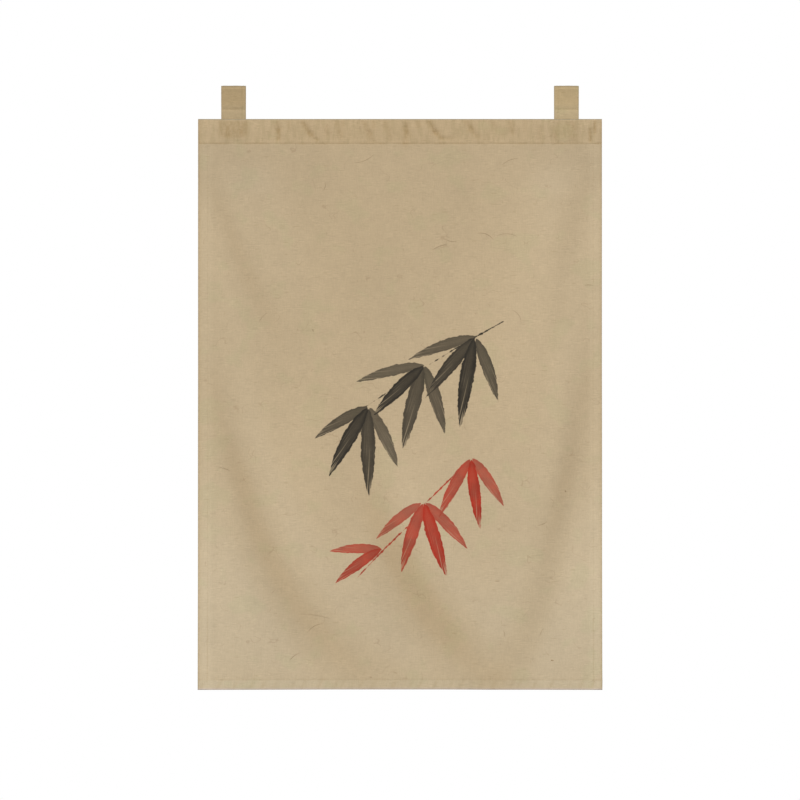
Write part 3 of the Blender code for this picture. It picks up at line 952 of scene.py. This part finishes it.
def panel_tints(nodes, base, cloth):
    """The header is yellower, with darker streaks down it, and its fold bluer and darker with painted shade.
    The doubled hems are paler, the sides paler with painted light and the lowest part darker with painted
    shade, and what faces down is warmer with painted shade than what faces up, cooler with painted light.
    Soft patches of painted light and painted shade lie over it."""
    spot = nodes.add("ShaderNodeSeparateXYZ", {0: cloth})
    place = spot.outputs[0]
    depth = nodes.math("MULTIPLY", spot.outputs[1], -1.0)
    left_seam = SIDE_HEM_LEFT - PANEL_WIDTH / 2
    right_seam = PANEL_WIDTH / 2 - SIDE_HEM_RIGHT
    bottom_seam = PANEL_HEIGHT - BOTTOM_HEM
    left = nodes.ramp(place, left_seam - 0.001, left_seam + 0.016, 1.0, 0.0)
    right = nodes.ramp(place, right_seam - 0.016, right_seam + 0.001)
    bottom = nodes.ramp(depth, bottom_seam - 0.0020, bottom_seam + 0.0020)
    below = nodes.ramp(depth, HEADER_SEAM - 0.0004, HEADER_SEAM + 0.0010)
    front = nodes.ramp(depth, -0.0045, -0.0025)
    header = nodes.math("MULTIPLY", nodes.math("SUBTRACT", 1.0, below), front)
    crest = nodes.ramp(depth, -0.0014, -0.0002)
    fold = nodes.math("MULTIPLY", nodes.ramp(depth, 0.0004, 0.0028, 1.0, 0.0), crest)
    streaks = nodes.ramp(nodes.noise(nodes.scaled(cloth, 95, 24), 2), 0.42, 0.66)
    side_hems = nodes.math("MULTIPLY", nodes.math("MAXIMUM", left, right), below)
    base = nodes.tinted(base, side_hems, SIDE_HEM_TINT)
    base = nodes.tinted(base, bottom, BOTTOM_HEM_TINT)
    last = nodes.ramp(depth, PANEL_HEIGHT - 0.0050, PANEL_HEIGHT - 0.0025)
    base = nodes.tinted(base, last, BOTTOM_EDGE_TINT)
    base = nodes.tinted(base, header, HEADER_TINT)
    base = nodes.tinted(base, nodes.math("MULTIPLY", header, streaks), STREAK_TINT)
    # Painted shade over the fold, where it faces up.
    base = nodes.tinted(base, fold, FOLD_PAINTED_SHADE_TINT)
    # Painted light towards the sides.
    base = nodes.tinted(base, nodes.ramp(nodes.math("ABSOLUTE", place), 0.12, 0.40), SIDES_PAINTED_LIGHT_TINT)
    base = nodes.tinted(base, nodes.ramp(depth, 0.55, 1.00), LOWER_TINT)
    # Painted shade over the lowest part.
    base = nodes.tinted(base, nodes.ramp(depth, 0.92, 1.10), LOWEST_PAINTED_SHADE_TINT)
    # Warm painted shade where the folds face down and cool painted light where they face up.
    lean = nodes.attribute("lean")
    base = nodes.tinted(base, nodes.ramp(lean, 0.0, 0.8), FACING_DOWN_PAINTED_SHADE_TINT)
    base = nodes.tinted(base, nodes.ramp(lean, -0.8, 0.0, 1.0, 0.0), FACING_UP_PAINTED_LIGHT_TINT)
    return painted_light_and_shade_patches(nodes, base, cloth, below)


def strap_painted_light_and_shade(nodes, base, cloth):
    """The strap is warmer and lighter with painted light above its seam, and darker with painted shade
    towards its crown, most of all at the crown.
    """
    crown = STRAP_FLAT_START + float(lengths_along(tab_path())[-1]) / 2
    along = nodes.add("ShaderNodeSeparateXYZ", {0: cloth}).outputs[1]
    away = nodes.math("ABSOLUTE", nodes.math("SUBTRACT", along, crown))
    # Painted light above the seam, then painted shade towards the crown and at it.
    base = nodes.tinted(base, nodes.ramp(away, 0.036, 0.058, 1.0, 0.0), STRAP_PAINTED_LIGHT_TINT)
    base = nodes.tinted(base, nodes.ramp(away, 0.010, 0.022, 1.0, 0.0), STRAP_TOP_PAINTED_SHADE_TINT)
    return nodes.tinted(base, nodes.ramp(away, 0.003, 0.0105, 1.0, 0.0), CROWN_PAINTED_SHADE_TINT)


def woven(nodes, cloth, colour, patches):
    """The colour of the plain weave, uneven in soft patches and from yarn to yarn both ways, and its weft."""
    warm = nodes.noise(nodes.scaled(cloth, 14, 17), 2)
    greenish = tuple(channel * factor for channel, factor in zip(colour, GREENISH_TINT))
    base = nodes.mix(nodes.ramp(warm, 0.30, 0.44), (*greenish, 1), (*colour, 1))
    tone = nodes.ramp(patches, 0.25, 0.75, 0.982, 1.018)
    weft = nodes.noise(nodes.scaled(cloth, 55, 430), 2)
    warp = nodes.noise(nodes.scaled(cloth, 430, 55), 2)
    grain = nodes.noise(nodes.scaled(cloth, 300, 300), 2)
    ribs = nodes.ramp(nodes.noise(nodes.scaled(cloth, 70, 520), 1), 0.30, 0.70, -0.045, 0.045)
    ribbed = nodes.ramp(nodes.noise(nodes.scaled(cloth, 30, 44), 1), 0.52, 0.62)
    tone = nodes.math("MULTIPLY", tone, nodes.ramp(weft, 0.25, 0.75, 0.972, 1.028))
    tone = nodes.math("ADD", tone, nodes.math("MULTIPLY", ribs, ribbed))
    tone = nodes.math("MULTIPLY", tone, nodes.ramp(warp, 0.25, 0.75, 0.975, 1.025))
    tone = nodes.math("MULTIPLY", tone, nodes.ramp(grain, 0.25, 0.75, 0.980, 1.020))
    return nodes.toned(base, tone), weft


def with_hairs(nodes, cloth, base):
    """Short curled fibres in some patches of the cloth, and specks along the yarns both ways."""
    strand = nodes.noise(nodes.scaled(cloth, 22, 30), 1.4)
    where = nodes.noise(nodes.scaled(cloth, 17, 26), 1)
    hair = nodes.math("ABSOLUTE", nodes.math("SUBTRACT", strand, 0.5))
    hair = nodes.math("MULTIPLY", nodes.ramp(hair, 0.0, 0.013, 1.0, 0.0), nodes.ramp(where, 0.61, 0.67))
    base = nodes.mix(nodes.math("MULTIPLY", hair, 0.36), base, (*HAIR_COLOUR, 1))
    lying = nodes.ramp(nodes.noise(nodes.scaled(cloth, 48, 360), 0), 0.82, 0.90, 0.0, 0.26)
    upright = nodes.ramp(nodes.noise(nodes.scaled(cloth, 340, 60), 0), 0.86, 0.93, 0.0, 0.22)
    return nodes.mix(nodes.math("MAXIMUM", lying, upright), base, (*SPECK_COLOUR, 1))


def painted_shade_share(nodes, cloth):
    """How much painted shade each spot gets, a little blotched."""
    painted_shade = nodes.attribute("painted_shade")
    blotches = nodes.ramp(nodes.noise(nodes.scaled(cloth, 210, 130), 2), 0.30, 0.65, 0.65, 1.15)
    return nodes.math("MULTIPLY", painted_shade, blotches)


def printed(nodes, cloth, base, patches, group, strength):
    wobble = nodes.math("SUBTRACT", nodes.noise(nodes.scaled(cloth, 90, 90), 2), 0.5)
    for leaves, ink_colour in ((DARK_LEAVES, DARK_INK), (RED_LEAVES, RED_INK)):
        ink = brushed(nodes, cloth, wobble, leaves, group)
        inked = nodes.toned((*ink_colour, 1), nodes.ramp(patches, 0.3, 0.7, 0.85, 1.15))
        base = nodes.mix(nodes.math("MULTIPLY", ink, strength), base, inked)
    return base


def weave_bump(nodes, cloth, weft):
    bands = {"Vector": cloth, "Scale": 220.0, "Distortion": 0.6}
    across = nodes.add("ShaderNodeTexWave", bands).outputs[1]
    up = nodes.add("ShaderNodeTexWave", bands, bands_direction="Y").outputs[1]
    weave = nodes.math("ADD", nodes.math("MULTIPLY", across, up), nodes.math("MULTIPLY", weft, 0.8))
    return nodes.add("ShaderNodeBump", {"Strength": 0.35, "Distance": 0.0003, "Height": weave}).outputs[0]


def cloth_material(name, colour, group, print_strength, tints):
    """Plain-woven cloth with its tints and its painted shade marks and, where print_strength isn't 0, the
    leaves.
    """
    material = bpy.data.materials.new(name)
    material.use_nodes = True
    nodes = Nodes(material.node_tree)
    shader = material.node_tree.nodes["Principled BSDF"]
    shader.inputs["Roughness"].default_value = CLOTH_ROUGHNESS
    shader.inputs["Specular IOR Level"].default_value = CLOTH_SPECULAR
    cloth = nodes.add("ShaderNodeUVMap", {}, uv_map="cloth").outputs[0]
    patches = nodes.noise(nodes.scaled(cloth, 26, 30), 3)
    base, weft = woven(nodes, cloth, colour, patches)
    base = with_hairs(nodes, cloth, base)
    painted_shade = painted_shade_share(nodes, cloth)
    # Painted shade in the creases, along the seams, over the straps' ends and at the edges.
    base = nodes.tinted(tints(nodes, base, cloth), painted_shade, PAINTED_SHADE_TINT)
    if print_strength:
        base = printed(nodes, cloth, base, patches, group, print_strength)
    nodes.tree.links.new(base, shader.inputs["Base Color"])
    nodes.tree.links.new(weave_bump(nodes, cloth, weft), shader.inputs["Normal"])
    return material


def plain_material(name, colour, roughness):
    material = bpy.data.materials.new(name)
    material.use_nodes = True
    shader = material.node_tree.nodes["Principled BSDF"]
    shader.inputs["Base Color"].default_value = (*colour, 1)
    shader.inputs["Roughness"].default_value = roughness
    return material


def sun(name, strength, elevation, side, softness):
    """Soft light from above. side, in degrees, is 0 from straight in front and 90 from the right."""
    lamp = bpy.data.lights.new(name, "SUN")
    lamp.energy = strength
    lamp.angle = math.radians(softness)
    made = link_object(name, lamp)
    rise, turn = math.radians(elevation), math.radians(side)
    towards = Vector((math.sin(turn) * math.cos(rise), -math.cos(turn) * math.cos(rise), math.sin(rise)))
    made.rotation_euler = towards.to_track_quat("Z", "Y").to_euler()


def light_the_scene():
    """Two suns light the front evenly and one the back, and the white surroundings add a little."""
    sun("key_left", strength=1.88, elevation=45, side=-25, softness=20)
    sun("key_right", strength=1.73, elevation=45, side=25, softness=20)
    sun("behind", strength=1.5, elevation=40, side=165, softness=20)
    world = bpy.data.worlds.new("studio")
    world.use_nodes = True
    tree = world.node_tree
    background = tree.nodes["Background"]
    background.inputs["Color"].default_value = (1, 1, 1, 1)
    seen = tree.nodes.new("ShaderNodeLightPath").outputs["Is Camera Ray"]
    strength = tree.nodes.new("ShaderNodeMapRange")
    tree.links.new(seen, strength.inputs["Value"])
    strength.inputs["To Min"].default_value = AMBIENT
    strength.inputs["To Max"].default_value = BACKDROP
    tree.links.new(strength.outputs["Result"], background.inputs["Strength"])
    bpy.context.scene.world = world


def make_floor():
    bm = bmesh.new()
    bmesh.ops.create_circle(bm, cap_ends=True, segments=96, radius=FLOOR_RADIUS)
    mesh = bpy.data.meshes.new("floor")
    bm.to_mesh(mesh)
    bm.free()
    mesh.materials.append(plain_material("pale_floor", FLOOR_COLOUR, 0.8))
    floor = link_object("floor", mesh)
    floor.location.z = -FLOOR_BELOW


def make_camera():
    camera = bpy.data.cameras.new("camera")
    camera.lens = CAMERA_LENS
    camera.sensor_width = SENSOR
    made = link_object("camera", camera)
    distance = VIEW_WIDTH * CAMERA_LENS / SENSOR
    made.location = (0, PANEL_FACE - distance, PANEL_TOP - VIEW_CENTRE_BELOW_TOP)
    made.rotation_euler = (math.pi / 2, 0, 0)
    bpy.context.scene.camera = made


make_camera()
bpy.context.scene.view_settings.view_transform = "Standard"
light_the_scene()
make_floor()

leaf_shape = leaf_group()
face_cloth = cloth_material("face_cloth", FACE_COLOUR, leaf_shape, FACE_PRINT, panel_tints)
back_cloth = cloth_material("back_cloth", BACK_COLOUR, leaf_shape, BACK_PRINT, panel_tints)
left_strap = cloth_material("left_strap", LEFT_STRAP_COLOUR, leaf_shape, 0, strap_painted_light_and_shade)
right_strap = cloth_material("right_strap", RIGHT_STRAP_COLOUR, leaf_shape, 0, strap_painted_light_and_shade)
thread = plain_material("thread", THREAD_COLOUR, 0.7)

make_panel(face_cloth, back_cloth)
make_tab("left", -TAB_CENTRE, left_strap)
make_tab("right", TAB_CENTRE, right_strap)
make_seams(thread)
make_fibres(plain_material("fibre", FIBRE_COLOUR, 0.8))
